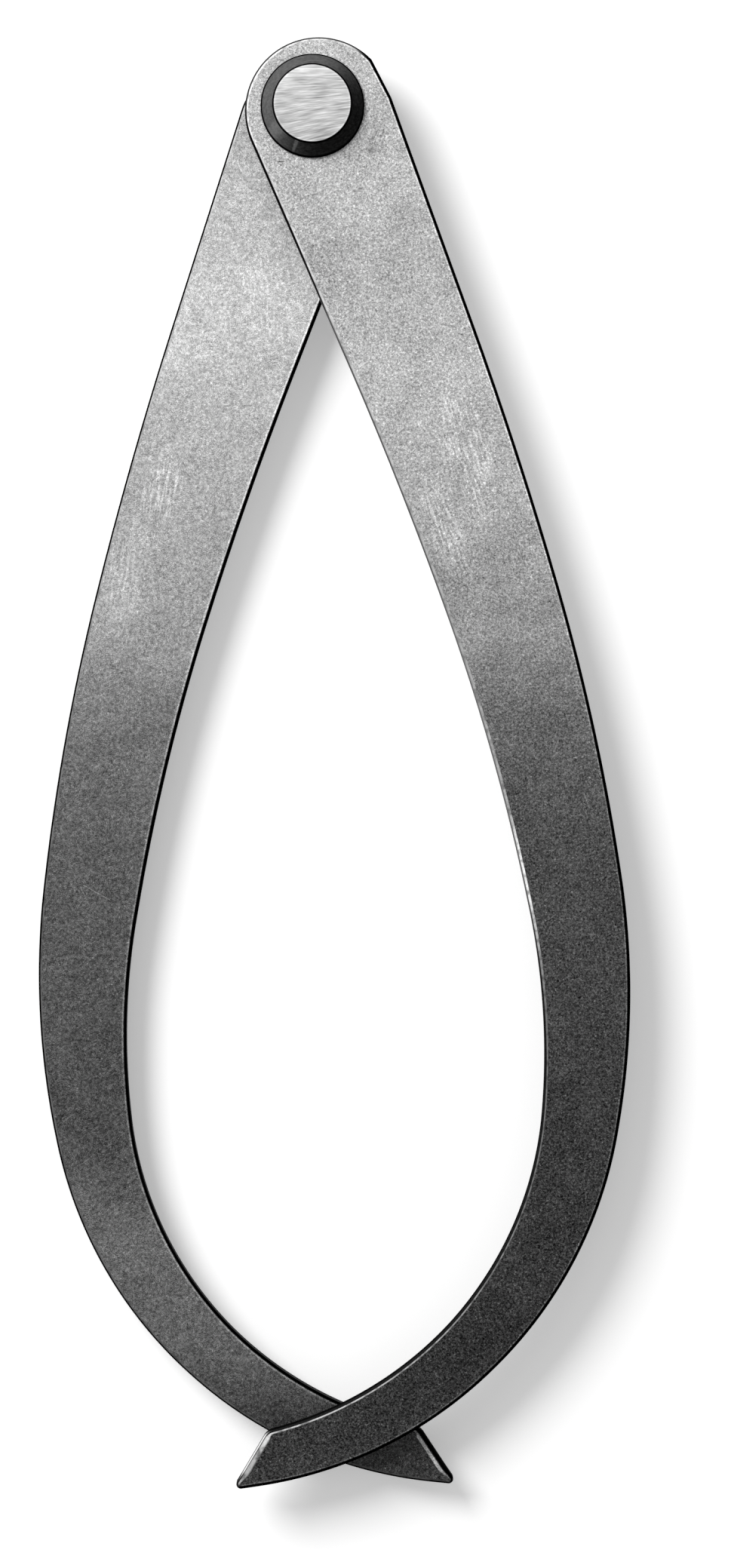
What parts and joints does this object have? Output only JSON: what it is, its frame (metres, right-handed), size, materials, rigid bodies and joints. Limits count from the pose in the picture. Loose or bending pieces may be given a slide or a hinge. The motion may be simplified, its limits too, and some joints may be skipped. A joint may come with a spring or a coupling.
{
  "type": "outside caliper",
  "caption": "Firm-joint outside caliper: flat bowed steel legs that turn on a bevelled rivet, for taking outside sizes of round or flat work.",
  "frame": {"origin": "on the joint's axis, on the ground face of the rear washer", "axes": "+Z along the joint's axis towards the rivet's head, -Y down the middle between the legs towards the toes, +X to the side of the front leg"},
  "size_m": [0.0642, 0.1574, 0.0094],
  "materials": {
    "leg_steel": "fine matt grain, worn bright in places",
    "rivet_steel": "ground face, dark turned bevel",
    "washer_steel": "ground face, dark turned bevel",
    "friction_brass": "rolled"
  },
  "bodies": {
    "rear_side": {"rear_leg": "leg_steel", "joint_rivet": "rivet_steel", "rear_washer": "washer_steel", "friction_washer": "friction_brass"},
    "front_side": {"front_leg": "leg_steel"}
  },
  "joints": [
    {"name": "leg_pivot", "type": "hinge", "parent": "rear_side", "child": "front_side", "pos_m": [0, 0, 0.00605], "axis": [0, 0, 1], "continuous": true}
  ]
}
